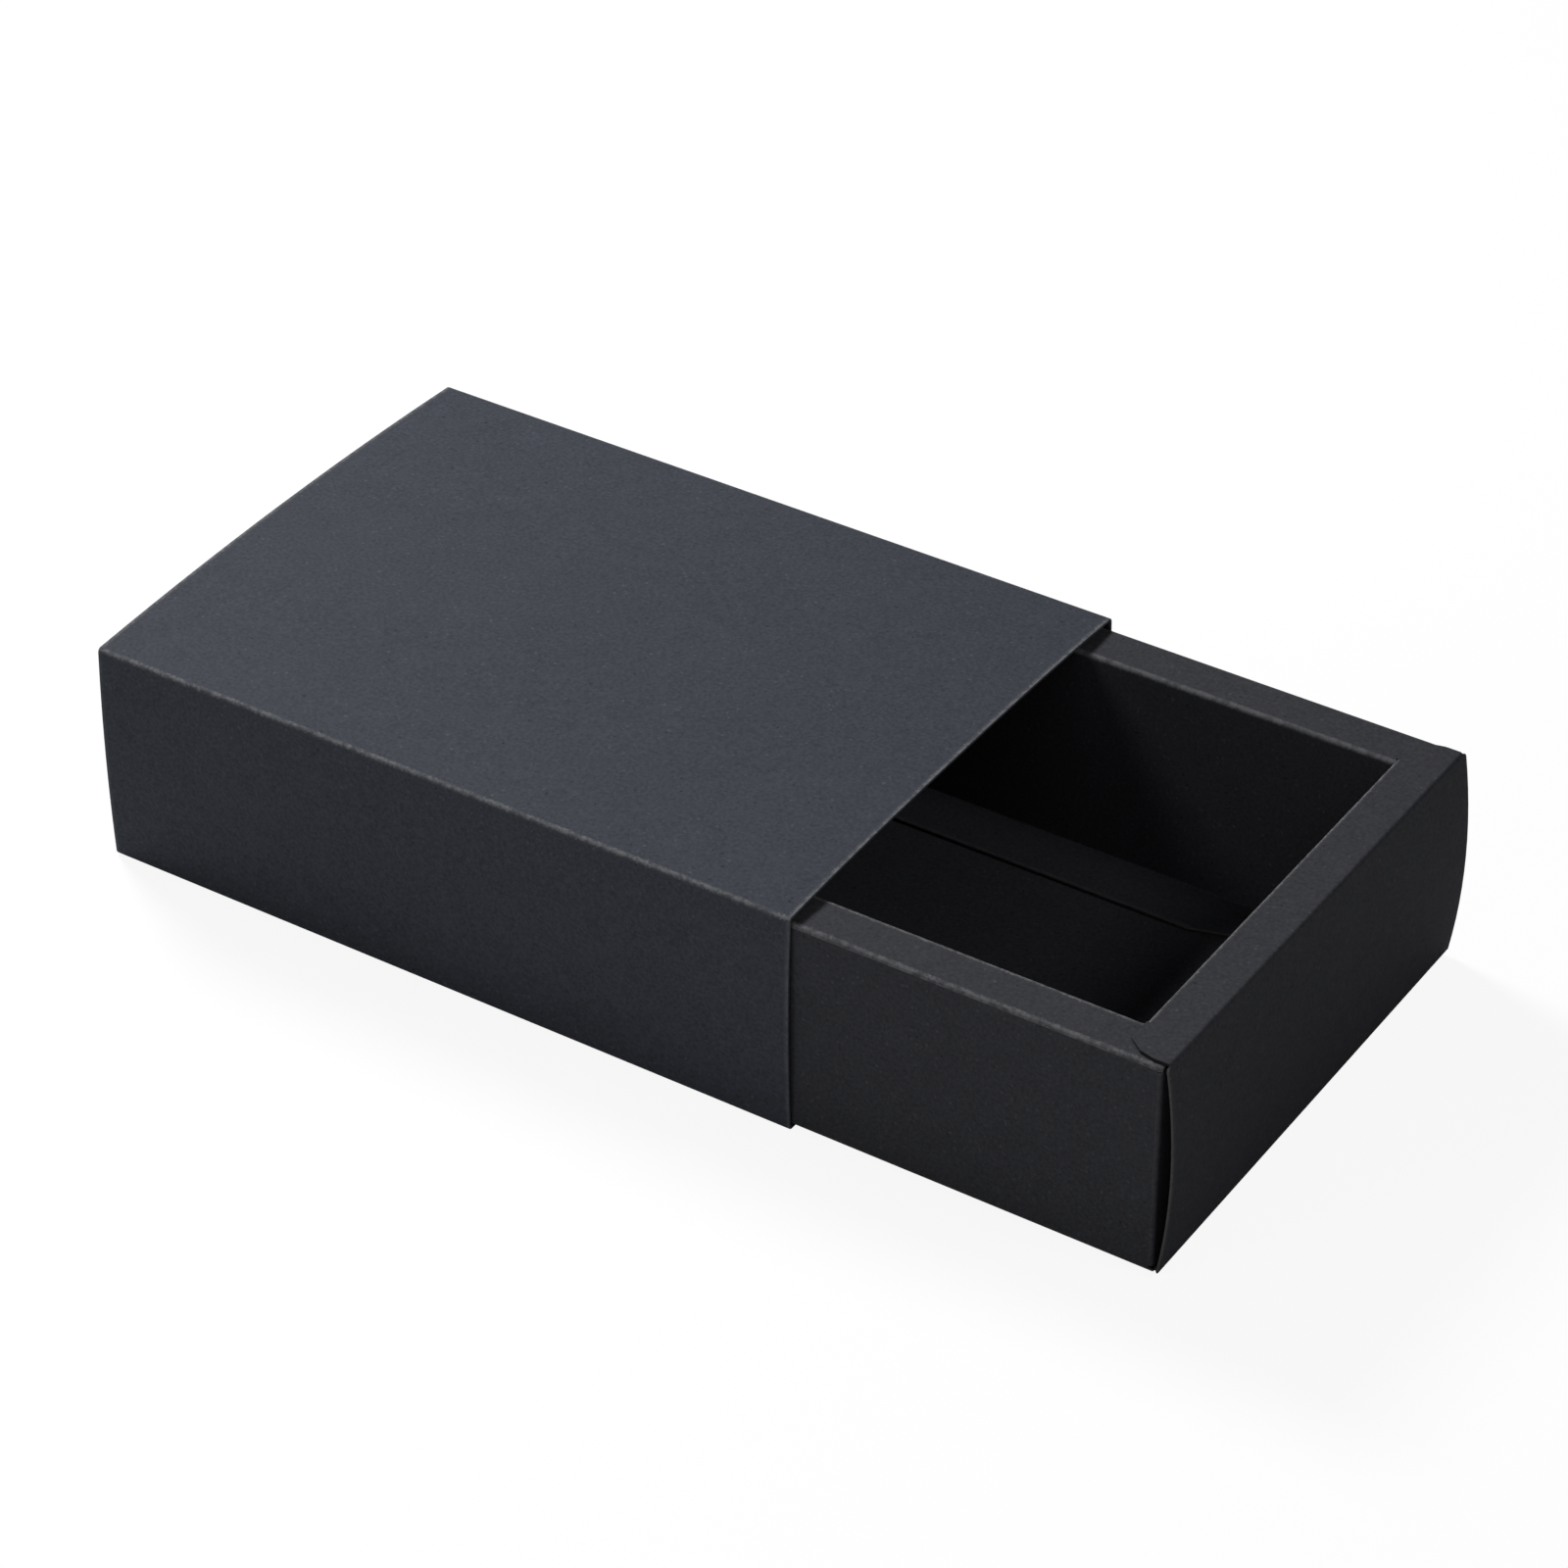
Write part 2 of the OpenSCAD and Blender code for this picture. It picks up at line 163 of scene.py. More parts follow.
# ---- Camera, solved from the corners of the box in the photograph ----
CAMERA_AT = (842.2, -1189.8, 1071.5)
CAMERA_RIGHT = (0.839312, 0.543648, -0.000727)
CAMERA_DOWN = (0.317202, -0.490799, -0.811479)
CAMERA_AHEAD = (-0.441517, 0.680855, -0.584380)
CAMERA_LENS = 120.48
CAMERA_SENSOR = 36.0


# ---- Stations and arcs: a station is (across, up, heading in degrees) ----
def move_on(station, arc):
    """Station reached along an arc of (length, turn to the left in degrees)."""
    across, up, heading = station
    length, turn = arc
    start = math.radians(heading)
    if abs(turn) < 1e-9:
        return (across + length * math.cos(start), up + length * math.sin(start), heading)
    radius = length / math.radians(turn)
    end = math.radians(heading + turn)
    across += radius * (math.sin(end) - math.sin(start))
    up -= radius * (math.cos(end) - math.cos(start))
    return (across, up, heading + turn)


def fold(turn):
    """Arc of a crease along the card's middle."""
    return (FOLD_MID * math.radians(abs(turn)), turn)


def straight(length):
    return (length, 0.0)


def lean_of(chord, swell):
    """Lean at the ends of a panel that swells in the middle."""
    return 2 * math.degrees(math.atan(2 * swell / chord))


def swelling(chord, lean):
    """Arc over a chord for a panel that leans by the same angle at both ends."""
    angle = math.radians(lean)
    length = chord if lean == 0 else chord * angle / math.sin(angle)
    return (length, 2 * lean)


def mirrored(station):
    """The same station on the other side of the section's upright axis."""
    return (-station[0], station[1], -station[2])


class Line:
    """The middle line of a strip of card, as arcs from a start."""

    def __init__(self, start, arcs, more_rows=()):
        self.arcs = arcs
        self.more_rows = list(more_rows)
        self.stations = [start]
        self.marks = [0.0]
        for arc in arcs:
            self.stations.append(move_on(self.stations[-1], arc))
            self.marks.append(self.marks[-1] + arc[0])
        self.length = self.marks[-1]

    def at(self, s):
        """Station at the distance s from the start."""
        i = len(self.arcs) - 1
        while i > 0 and s < self.marks[i]:
            i -= 1
        length, turn = self.arcs[i]
        share = (s - self.marks[i]) / length
        return move_on(self.stations[i], (length * share, turn * share))

    def end(self):
        return self.stations[-1]

    def rows(self):
        """Distances at which the strip gets a row of points."""
        found = []
        for i, (length, turn) in enumerate(self.arcs):
            bent = length < LONGEST_FOLD
            steps = math.ceil(abs(turn) / FOLD_STEP) if bent else math.ceil(length / RUN_STEP)
            steps = max(1, steps)
            found += [self.marks[i] + length * k / steps for k in range(steps)]
        return sorted(found + self.more_rows + [self.length])


# ---- Places: how a section's across, up and along directions lie in the row frame ----
class Place:
    def __init__(self, across, up, along, origin=(0, 0, 0)):
        self.across = np.array(across, float)
        self.up = np.array(up, float)
        self.along = np.array(along, float)
        self.origin = np.array(origin, float)


TRAY_ORIGIN = (PULL_OUT, TRAY_Y, 0)
SLEEVE_PLACE = Place((0, 1, 0), (0, 0, 1), (1, 0, 0))
FAR = Place((0, 1, 0), (0, 0, 1), (1, 0, 0), TRAY_ORIGIN)
NEAR = Place((0, -1, 0), (0, 0, 1), (1, 0, 0), TRAY_ORIGIN)
FRONT = Place((1, 0, 0), (0, 0, 1), (0, 1, 0), TRAY_ORIGIN)
BACK = Place((-1, 0, 0), (0, 0, 1), (0, 1, 0), TRAY_ORIGIN)


# ---- Sheets ----
ROUNDING = [math.radians(a) for a in (90, 60, 30, 0)]


def rounded_ends(positions, free_first, free_last):
    """Positions with more of them along the rounded ends, and the rounding's angle at each."""
    first, last = positions[0], positions[-1]
    keep = 2 * EDGE_R
    inner = [p for p in positions[1:-1] if first + keep < p < last - keep]
    head = [(first, 0.0)]
    tail = [(last, 0.0)]
    if free_first:
        head = [(first + EDGE_R * (1 - math.sin(a)), a) for a in ROUNDING]
    if free_last:
        tail = [(last - EDGE_R * (1 - math.sin(a)), a) for a in reversed(ROUNDING)]
    both = head + [(p, 0.0) for p in inner] + tail
    return np.array([p for p, a in both]), np.array([a for p, a in both])


def flat(share, along):
    """The bow of a sheet that has none."""
    return 0.0


class Sheet:
    """A strip of card along a line, between a low and a high end that may change on the way.

    Free says whether its first and last rows are cut edges, and cut the same of its low and
    high ends. Bow lifts the sheet out of its line. Wear, core and spread are for the material. The
    wear is card wear together with a painted highlight at the folds and cut edges, and the core of
    the tongues carries a painted shade.
    """

    def __init__(self, line, span, place, free=(False, False), cut=(True, True), bow=flat,
                 outline_slope=True, wear_highlight=SLIGHT, core_and_shade=1.0, spread=0.0):
        self.line = line
        self.span = span if callable(span) else (lambda s: span)
        self.place = place
        self.bow = bow
        self.wear_highlight = wear_highlight
        self.core_and_shade = core_and_shade
        self.spread = spread
        self.free = free
        self.cut = cut
        self.outline_slope = outline_slope
        self.make()

    def slopes(self, s):
        """How fast the low and the high end move as the strip goes on."""
        if not self.outline_slope:
            return 0.0, 0.0
        step = 0.01
        before = self.span(max(0.0, s - step))
        after = self.span(min(self.line.length, s + step))
        width = min(self.line.length, s + step) - max(0.0, s - step)
        return (after[0] - before[0]) / width, (after[1] - before[1]) / width

    def make(self):
        """Points and normals of both skins, and the distances noted at each point."""
        line, place = self.line, self.place
        s, turned_s = rounded_ends(line.rows(), *self.free)
        widest = max(self.span(v)[1] - self.span(v)[0] for v in s)
        steps = max(2, math.ceil(widest / COLUMN_STEP))
        shares = [k / steps for k in range(steps + 1)]
        w, turned_w = rounded_ends([widest * k for k in shares], *self.cut)
        low = np.array([self.span(v)[0] for v in s])
        high = np.array([self.span(v)[1] for v in s])
        slope = np.array([self.slopes(v) for v in s])

        # Columns near an end keep their distance to it, and the others share the rest
        margin = 2.1 * EDGE_R
        near_low = w <= margin
        near_high = w >= widest - margin
        middle = (w - margin) / (widest - 2 * margin)
        length = (high - low)[:, None]
        along = low[:, None] + margin + middle[None, :] * (length - 2 * margin)
        along = np.where(near_low[None, :], low[:, None] + w[None, :], along)
        along = np.where(near_high[None, :], high[:, None] - (widest - w)[None, :], along)

        stations = np.array([line.at(v) for v in s])
        heading = np.radians(stations[:, 2])
        centre = stations[:, :1] * place.across + stations[:, 1:2] * place.up + place.origin
        tangent = np.cos(heading)[:, None] * place.across + np.sin(heading)[:, None] * place.up
        normal = np.sin(heading)[:, None] * place.across - np.cos(heading)[:, None] * place.up

        bow = np.vectorize(self.bow, otypes=[float])
        share = s[:, None] / line.length + 0 * along
        lift = bow(share, along)
        step = 0.5
        lift_s = (bow(share + step / line.length, along)
                  - bow(share - step / line.length, along)) / (2 * step)
        lift_e = (bow(share, along + step) - bow(share, along - step)) / (2 * step)

        normal = normal[:, None, :]
        tangent = tangent[:, None, :]
        beside = place.along[None, None, :]
        middle_points = centre[:, None, :] + along[..., None] * beside + lift[..., None] * normal
        tilted = normal - lift_s[..., None] * tangent - lift_e[..., None] * beside
        tilted /= np.linalg.norm(tilted, axis=2, keepdims=True)

        ends = np.where(s < line.length / 2, -1.0, 1.0)[:, None, None]
        row_out = ends * tangent
        sides = np.where(w < widest / 2, -1.0, 1.0)
        border_slope = np.where(sides[None, :] < 0, slope[:, :1], slope[:, 1:])
        column_out = sides[None, :, None] * (beside - border_slope[..., None] * tangent)
        column_out = column_out / np.linalg.norm(column_out, axis=2, keepdims=True)

        sin_s, cos_s = np.sin(turned_s)[:, None, None], np.cos(turned_s)[:, None, None]
        sin_w, cos_w = np.sin(turned_w)[None, :, None], np.cos(turned_w)[None, :, None]
        drop = EDGE_R * np.maximum(1 - cos_s, 1 - cos_w)
        half = CARD_T / 2 - drop

        self.shape = along.shape
        self.points, self.normals = [], []
        for side in (1, -1):
            out = side * tilted * cos_s * cos_w + row_out * sin_s + column_out * sin_w
            out /= np.linalg.norm(out, axis=2, keepdims=True)
            self.points.append(middle_points + side * half * tilted)
            self.normals.append(out)
        self.note_distances(s, along, low, high, turned_s, turned_w)

    def note_distances(self, s, along, low, high, turned_s, turned_w):
        """Each point's distance to the folds at both ends of the strip, and to the cut edges."""
        line = self.line
        zero = 0 * along
        first_fold = line.arcs[0][0] if self.is_fold(0) else None
        last_fold = line.arcs[-1][0] if self.is_fold(-1) else None
        from_first = FAR_AWAY + zero if first_fold is None else s[:, None] - first_fold + zero
        from_last = FAR_AWAY + zero
        if last_fold is not None:
            from_last = line.length - last_fold - s[:, None] - self.spread + zero
        from_low = along - low[:, None] if self.cut[0] else FAR_AWAY + zero
        from_high = high[:, None] - along if self.cut[1] else FAR_AWAY + zero
        from_end = FAR_AWAY + zero
        if self.free[0]:
            from_end = np.minimum(from_end, s[:, None] + zero)
        if self.free[1]:
            from_end = np.minimum(from_end, line.length - s[:, None] + zero)
        bare = np.maximum(np.sin(turned_s)[:, None] + zero, np.sin(turned_w)[None, :] + zero)
        self.notes = []
        for side in (1, -1):
            wear_highlight_amount = (self.fold_wear_highlight(0, side) + zero, self.fold_wear_highlight(-1, side) + zero,
                    self.wear_highlight[2] + zero)
            self.notes.append({
                "to_folds": np.stack([from_first, from_last, bare], axis=2),
                "to_cuts": np.stack([from_low, from_high, from_end], axis=2),
                "wear_highlight_amount": np.stack(wear_highlight_amount, axis=2),
                "core_and_shade": np.stack([self.core_and_shade + zero] * 3, axis=2),
            })

    def is_fold(self, i):
        length, turn = self.line.arcs[i]
        return abs(turn) > 1 and length < LONGEST_FOLD

    def fold_wear_highlight(self, i, side):
        """A fold's wear and painted highlight are on its outer skin only. The right-hand skin has
        side 1.
        """
        if not self.is_fold(i) or side * self.line.arcs[i][1] <= 0:
            return 0.0
        return self.wear_highlight[0] if i == 0 else self.wear_highlight[1]

    def faces(self):
        rows, columns = self.shape
        count = rows * columns
        index = np.arange(count).reshape(rows, columns)
        found = []
        a, b = index[:-1, :-1], index[1:, :-1]
        c, d = index[1:, 1:], index[:-1, 1:]
        found.append(np.stack([a, b, c, d], axis=-1).reshape(-1, 4))
        found.append(np.stack([d, c, b, a], axis=-1).reshape(-1, 4) + count)
        ring = np.concatenate([
            index[0, :-1], index[:-1, -1], index[-1, :0:-1], index[:0:-1, 0]
        ])
        following = np.roll(ring, -1)
        found.append(np.stack([ring, following, following + count, ring + count], axis=-1))
        return np.concatenate(found)


def volume(points, faces):
    """Signed volume of a closed mesh of quads."""
    total = 0.0
    for i, j in ((1, 2), (2, 3)):
        a, b, c = points[faces[:, 0]], points[faces[:, i]], points[faces[:, j]]
        total += np.einsum("ij,ij->i", a, np.cross(b, c)).sum()
    return total


def piece(name, body, sheets, material):
    """One object of one or more sheets that stands for the CAD node of the same name."""
    points, normals, faces = [], [], []
    notes = {"to_folds": [], "to_cuts": [], "wear_highlight_amount": [], "core_and_shade": []}
    start = 0
    for sheet in sheets:
        both = np.concatenate([p.reshape(-1, 3) for p in sheet.points])
        quads = sheet.faces()
        if volume(both - both.mean(0), quads) < 0:
            quads = quads[:, ::-1]
        points.append(both)
        normals.append(np.concatenate([n.reshape(-1, 3) for n in sheet.normals]))
        faces.append(quads + start)
        for key in notes:
            notes[key] += [side[key].reshape(-1, 3) for side in sheet.notes]
        start += len(both)
    points = np.concatenate(points) * MM
    normals = np.concatenate(normals)
    faces = np.concatenate(faces)

    mesh = bpy.data.meshes.new(name)
    mesh.from_pydata(points.tolist(), [], faces.tolist())
    mesh.polygons.foreach_set("use_smooth", [True] * len(mesh.polygons))
    for key, value in notes.items():
        attribute = mesh.attributes.new(key, "FLOAT_VECTOR", "POINT")
        attribute.data.foreach_set("vector", np.concatenate(value).astype(np.float32).ravel())
    mesh.normals_split_custom_set_from_vertices(normals.tolist())
    mesh.materials.append(material)
    thing = bpy.data.objects.new(name + ".card", mesh)
    bpy.context.scene.collection.objects.link(thing)
    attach(thing, body)
    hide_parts(name)
    return thing


# ---- Nodes of a material ----
class Nodes:
    """A material's nodes, each made and linked in one call."""

    def __init__(self, name):
        self.material = bpy.data.materials.new(name)
        self.material.use_nodes = True
        self.tree = self.material.node_tree
        self.tree.nodes.clear()

    def add(self, kind, inputs=(), **settings):
        node = self.tree.nodes.new(kind)
        for key, value in settings.items():
            setattr(node, key, value)
        for key, value in dict(inputs).items():
            self.feed(node.inputs[key], value)
        return node

    def feed(self, socket, value):
        if isinstance(value, bpy.types.NodeSocket):
            self.tree.links.new(value, socket)
        else:
            socket.default_value = value

    def math(self, operation, a, b=0.0, clamp=False):
        node = self.add("ShaderNodeMath", {0: a, 1: b}, operation=operation, use_clamp=clamp)
        return node.outputs[0]

    def steps(self, value, low, high, start=0.0, end=1.0):
        """A smooth change from start to end while value goes from low to high."""
        node = self.add(
            "ShaderNodeMapRange",
            {"Value": value, "From Min": low, "From Max": high, "To Min": start, "To Max": end},
            interpolation_type="SMOOTHSTEP",
        )
        return node.outputs["Result"]

    def noise(self, at, scale, detail=2.0, roughness=0.5):
        node = self.add(
            "ShaderNodeTexNoise",
            {"Vector": at, "Scale": scale, "Detail": detail, "Roughness": roughness},
        )
        return node.outputs["Fac"]

    def parts_of(self, name):
        """The three numbers of a mesh attribute."""
        whole = self.add("ShaderNodeAttribute", attribute_name=name).outputs["Vector"]
        return self.add("ShaderNodeSeparateXYZ", {0: whole}).outputs

    def mix(self, share, a, b):
        node = self.add("ShaderNodeMix", data_type="RGBA")
        self.feed(node.inputs[0], share)
        self.feed(node.inputs[6], a)
        self.feed(node.inputs[7], b)
        return node.outputs[2]


def rgba(color):
    return (color[0], color[1], color[2], 1.0)


def card_tone(n, at, layers):
    """Tone of the card around 1, with its layers and flecks."""
    tone = 1.0
    shares = [layer[3] for layer in TONE_LAYERS.values()] + [FIBRE_SHARE]
    for value, share in zip(layers.values(), shares):
        tone = n.math("ADD", tone, n.math("MULTIPLY", n.math("SUBTRACT", value, 0.5), share))

    # Flecks: small spots at random places, some paler and some darker than the card
    spots = n.add("ShaderNodeTexVoronoi", {"Vector": at, "Scale": FLECK_SCALE, "Randomness": 1.0})
    parts = n.add("ShaderNodeSeparateColor", {0: spots.outputs["Color"]})
    size = n.steps(parts.outputs[0], FLECK_TINY, 1.0, *FLECK_SIZES)
    spot = n.steps(n.math("SUBTRACT", spots.outputs["Distance"], size), *FLECK_FADE, 1.0, 0.0)
    fleck = n.math("MULTIPLY", spot, n.math("SUBTRACT", parts.outputs[1], FLECK_BALANCE))
    return n.math("ADD", tone, n.math("MULTIPLY", fleck, FLECK_SHARE))


def card_wear_highlight(n, at, layers):
    """How worn the card's skin is, with its painted highlight, from its distances to the folds and
    the cut edges.
    """
    folds = n.parts_of("to_folds")
    cuts = n.parts_of("to_cuts")
    wear_highlight_amount = n.parts_of("wear_highlight_amount")
    both = n.math("ADD", layers["mottle"], layers["grain"])
    ragged = n.math("MULTIPLY", n.math("SUBTRACT", both, 1.0), WEAR_HIGHLIGHT_RAGGED)
    wear_highlight = 0.0
    for distance, amount in ((folds[0], wear_highlight_amount[0]), (folds[1], wear_highlight_amount[1])):
        near = n.steps(n.math("ADD", distance, ragged), *FOLD_FADE, 1.0, 0.0)
        wear_highlight = n.math("MAXIMUM", wear_highlight, n.math("MULTIPLY", near, amount))
    to_cut = n.math("MINIMUM", n.math("MINIMUM", cuts[0], cuts[1]), cuts[2])
    ragged_cut = n.math("MULTIPLY", ragged, CUT_RAGGED)
    near = n.steps(n.math("ADD", to_cut, ragged_cut), *CUT_FADE, 1.0, 0.0)
    wear_highlight = n.math("MAXIMUM", wear_highlight, n.math("MULTIPLY", near, wear_highlight_amount[2]))
    patches = n.noise(at, PATCH_SCALE, detail=3.0, roughness=0.65)
    return n.math("MULTIPLY", wear_highlight, n.steps(patches, *PATCH_FADE, PATCH_LEAST, 1.0))


def card_material(name, face, wear_highlight_face, bare_face):
    """Uncoated dyed card: mottled and flecked, paler where folds and cut edges are worn, with a
    painted highlight there.
    """
    n = Nodes(name)
    place = n.add("ShaderNodeTexCoord").outputs["Object"]
    at = n.add("ShaderNodeVectorMath", {0: place, "Scale": 1000.0}, operation="SCALE").outputs[0]
    layers = {}
    for key, (scale, detail, roughness, _) in TONE_LAYERS.items():
        layers[key] = n.noise(at, scale, detail, roughness)
    stretched = n.add("ShaderNodeMapping", {"Vector": at, "Scale": FIBRE_STRETCH}).outputs[0]
    grain = layers["grain"]
    fibre = n.noise(stretched, 1.0)
    layers["fibre"] = fibre

    tone = card_tone(n, at, layers)
    plain = n.add("ShaderNodeVectorMath", {0: face, "Scale": tone}, operation="SCALE").outputs[0]
    # Paler where worn, with a painted highlight along the folds and cut edges
    skin = n.mix(card_wear_highlight(n, at, layers), plain, rgba(wear_highlight_face))

    # The bare core of the card shows on its cut edges. On the tongues it is darkened, a painted
    # shade for the shadow line under them.
    bare = n.steps(n.parts_of("to_folds")[2], *BARE_FADE)
    core_and_shade = n.parts_of("core_and_shade")[0]
    core_tone = n.math("MULTIPLY", core_and_shade, n.steps(fibre, *CORE_FIBRES))
    inner = n.add("ShaderNodeVectorMath", {0: bare_face, "Scale": core_tone}, operation="SCALE")
    color = n.mix(bare, skin, inner.outputs[0])

    rough = n.math("MULTIPLY_ADD", grain, GRAIN_ROUGHNESS)
    rough.node.inputs[2].default_value = CARD_ROUGHNESS
    rough = n.math("ADD", rough, n.math("MULTIPLY", bare, BARE_ROUGHNESS))

    from_grain = n.math("MULTIPLY", grain, GRAIN_HEIGHT)
    height = n.math("ADD", from_grain, n.math("MULTIPLY", fibre, FIBRE_HEIGHT))
    bump = n.add("ShaderNodeBump", {
        "Height": height, "Strength": BUMP_STRENGTH, "Distance": BUMP_DEPTH,
    })
    shader = n.add("ShaderNodeBsdfPrincipled", {
        "Base Color": color, "Roughness": rough, "Normal": bump.outputs["Normal"],
        "Specular IOR Level": CARD_SPECULAR,
    })
    out = n.add("ShaderNodeOutputMaterial")
    n.tree.links.new(shader.outputs[0], out.inputs[0])
    return n.material


# ---- Sleeve ----
SIDE_LEAN = lean_of(SLEEVE_H, SIDE_SWELL)
TOP_LEAN = lean_of(SLEEVE_W, CROWN)
BOTTOM_TURN = 90 - SIDE_LEAN
TOP_TURN = 90 - SIDE_LEAN - TOP_LEAN

BOTTOM_FOOT = (SLEEVE_W / 2 - FOLD_R, CARD_T / 2, 0.0)
SIDE_FOOT = move_on(BOTTOM_FOOT, fold(BOTTOM_TURN))
CREASE_DROP = FOLD_R * math.tan(math.radians(TOP_TURN / 2)) * math.cos(math.radians(SIDE_LEAN))
SIDE_RISE = SLEEVE_H - SIDE_FOOT[1] - CREASE_DROP
SIDE_ARC = swelling(SIDE_RISE, SIDE_LEAN)
SIDE_START = move_on(BOTTOM_FOOT, fold(BOTTOM_TURN / 2))
SIDE_HEAD = move_on(SIDE_FOOT, SIDE_ARC)
TOP_START = move_on(SIDE_HEAD, fold(TOP_TURN / 2))
TOP_FOOT = move_on(SIDE_HEAD, fold(TOP_TURN))
SEAM_RISE = (SIDE_FOOT[1] - SEAM_LIFT) / math.sin(math.radians(BOTTOM_TURN))
SEAM_START = move_on(SIDE_FOOT, straight(-SEAM_RISE))
FLAP_SHIFT = (CARD_T + GLUE_T) / math.cos(math.radians(SIDE_LEAN))
FLAP_START = (SIDE_START[0] - FLAP_SHIFT, SIDE_START[1], SIDE_START[2])
SLEEVE_SPAN = (-SLEEVE_L / 2, SLEEVE_L / 2)


def crown_change(share, along):
    """The real top panel is flatter towards the mouth that the tray comes out of."""
    along_share = along / SLEEVE_L + 0.5
    return -CROWN_DROP * along_share * math.sin(math.pi * share) ** 2


def build_sleeve(material):
    near_place = Place((0, -1, 0), (0, 0, 1), (1, 0, 0))
    bottom = Line(mirrored(SIDE_START), [
        fold(BOTTOM_TURN / 2), straight(2 * BOTTOM_FOOT[0] - FLAP_SHIFT), fold(BOTTOM_TURN / 2)
    ])
    side = Line(SIDE_START, [fold(BOTTOM_TURN / 2), SIDE_ARC, fold(TOP_TURN / 2)])
    top = Line(TOP_START, [
        fold(TOP_TURN / 2), swelling(2 * TOP_FOOT[0], TOP_LEAN), fold(TOP_TURN / 2)
    ])
    seam = Line(SEAM_START, [straight(SEAM_RISE), SIDE_ARC, fold(TOP_TURN / 2)])
    share = GLUE_FLAP_H / SIDE_RISE
    flap = Line(FLAP_START, [
        fold(BOTTOM_TURN / 2), (SIDE_ARC[0] * share, SIDE_ARC[1] * share)
    ])
    slant = math.tan(math.radians(GLUE_FLAP_CUT))

    def flap_span(s):
        back = max(0.0, flap.at(s)[1] - SIDE_FOOT[1]) * slant
        return (-SLEEVE_L / 2 + back, SLEEVE_L / 2 - back)

    # Wear amounts per fold and cut edge: card wear with a painted highlight, strongest at the near
    # creases
    made = {
        "sleeve_bottom_panel": Sheet(bottom, SLEEVE_SPAN, SLEEVE_PLACE, wear_highlight=(0.3, 0.3, 0.3)),
        "sleeve_near_side_panel": Sheet(side, SLEEVE_SPAN, near_place, wear_highlight=(0.3, 1.0, 0.4)),
        "sleeve_top_panel": Sheet(top, SLEEVE_SPAN, SLEEVE_PLACE, bow=crown_change,
                                  wear_highlight=(0.7, 1.0, 0.9)),
        "sleeve_far_side_panel": Sheet(seam, SLEEVE_SPAN, SLEEVE_PLACE, free=(True, False),
                                       wear_highlight=(0.3, 0.7, 0.4)),
        "sleeve_glue_flap": Sheet(flap, flap_span, SLEEVE_PLACE, free=(False, True)),
    }
    for name, sheet in made.items():
        piece(name, "sleeve", [sheet], material)


# ---- Tray: the chain of one wall from the floor's fold to its floor flap ----
class Wall:
    """A wall's folds and strips. Its worn values, card wear with a painted highlight, are for the
    rim's outer and inner folds.
    """

    def __init__(self, half, top, rim_w, swell, wear_highlight_amount):
        chord = top - TRAY_BOTTOM
        self.lean = lean_of(chord, swell)
        self.half, self.top, self.rim_w = half, top, rim_w
        self.wear_highlight_amount = wear_highlight_amount
        corner = (90 - self.lean) / 2
        foot = (half - FOLD_R, TRAY_BOTTOM + CARD_T / 2, 0.0)
        rise = chord - CARD_T - 2 * FOLD_MID * (1 - math.sin(math.radians(self.lean)))
        self.corner = corner
        self.outer = Line(move_on(foot, fold(corner)),
                          [fold(corner), swelling(rise, self.lean), fold(corner)])
        self.rim = Line(self.outer.end(),
                        [fold(corner), straight(rim_w - 2 * FOLD_R), fold(45)])
        self.flat_rim = Line(self.outer.end(), [fold(corner), straight(rim_w - FOLD_R)])
        drop = top - FLOOR_TOP - FLAP_GAP - CARD_T - 2 * FOLD_MID
        half_turn = -(90 + FLAP_SPRING) / 2
        self.inner = Line(self.rim.end(), [fold(45), straight(drop), fold(half_turn)])
        self.flap = Line(self.inner.end(), [fold(half_turn), straight(FLOOR_FLAP_W)])


def both_ways(half):
    """A span that reaches as far to both sides of the middle."""
    return (-half, half)


# Worn values: card wear with a painted highlight at each rim's outer and inner fold
END = Wall(TRAY_HALF_L, END_TOP, END_RIM_W, END_SWELL, (0.0, 1.0))
NEAR_SIDE = Wall(TRAY_HALF_W, SIDE_TOP, NEAR_RIM_W, 0.0, (0.9, 0.9))
FAR_SIDE = Wall(TRAY_HALF_W, SIDE_TOP, FAR_RIM_W, 0.0, (0.5, 0.55))

# An end wall has more rows in its last millimetre below the top fold, for its rounded corners
TOP_FOLD_MARK = END.outer.marks[2]
ROUNDED_END_WALL = Line(END.outer.stations[0], END.outer.arcs,
                        [TOP_FOLD_MARK - 0.1 * k for k in range(1, 11)])

DUST_LOW = TRAY_BOTTOM + FOLD_R + DUST_FLAP_GAP
DUST_HIGH = SIDE_TOP - FOLD_R - DUST_FLAP_GAP
INNER_NEAR = -ROOM_NEAR + CUT_GAP
INNER_FAR = ROOM_FAR - CUT_GAP


def build_floor(material):
    side_strip = Line(mirrored(NEAR_SIDE.outer.stations[0]), [
        fold(45), straight(2 * (TRAY_HALF_W - FOLD_R)), fold(45)
    ])
    sheets = [Sheet(side_strip, both_ways(SIDE_HALF_L), FAR, cut=(False, False))]
    end_fold = fold(END.corner)
    for place in (FRONT, BACK):
        strip = Line((SIDE_HALF_L, TRAY_BOTTOM + CARD_T / 2, 0.0),
                     [straight(TRAY_HALF_L - FOLD_R - SIDE_HALF_L), end_fold])
        sheets.append(Sheet(strip, both_ways(TRAY_HALF_W - FOLD_R), place))
    piece("tray_floor", "tray", sheets, material)


def plan_place(side, end):
    """A section seen from above, at the near or far side and the front or back end."""
    return Place((end, 0, 0), (0, side, 0), (0, 0, 1), TRAY_ORIGIN)


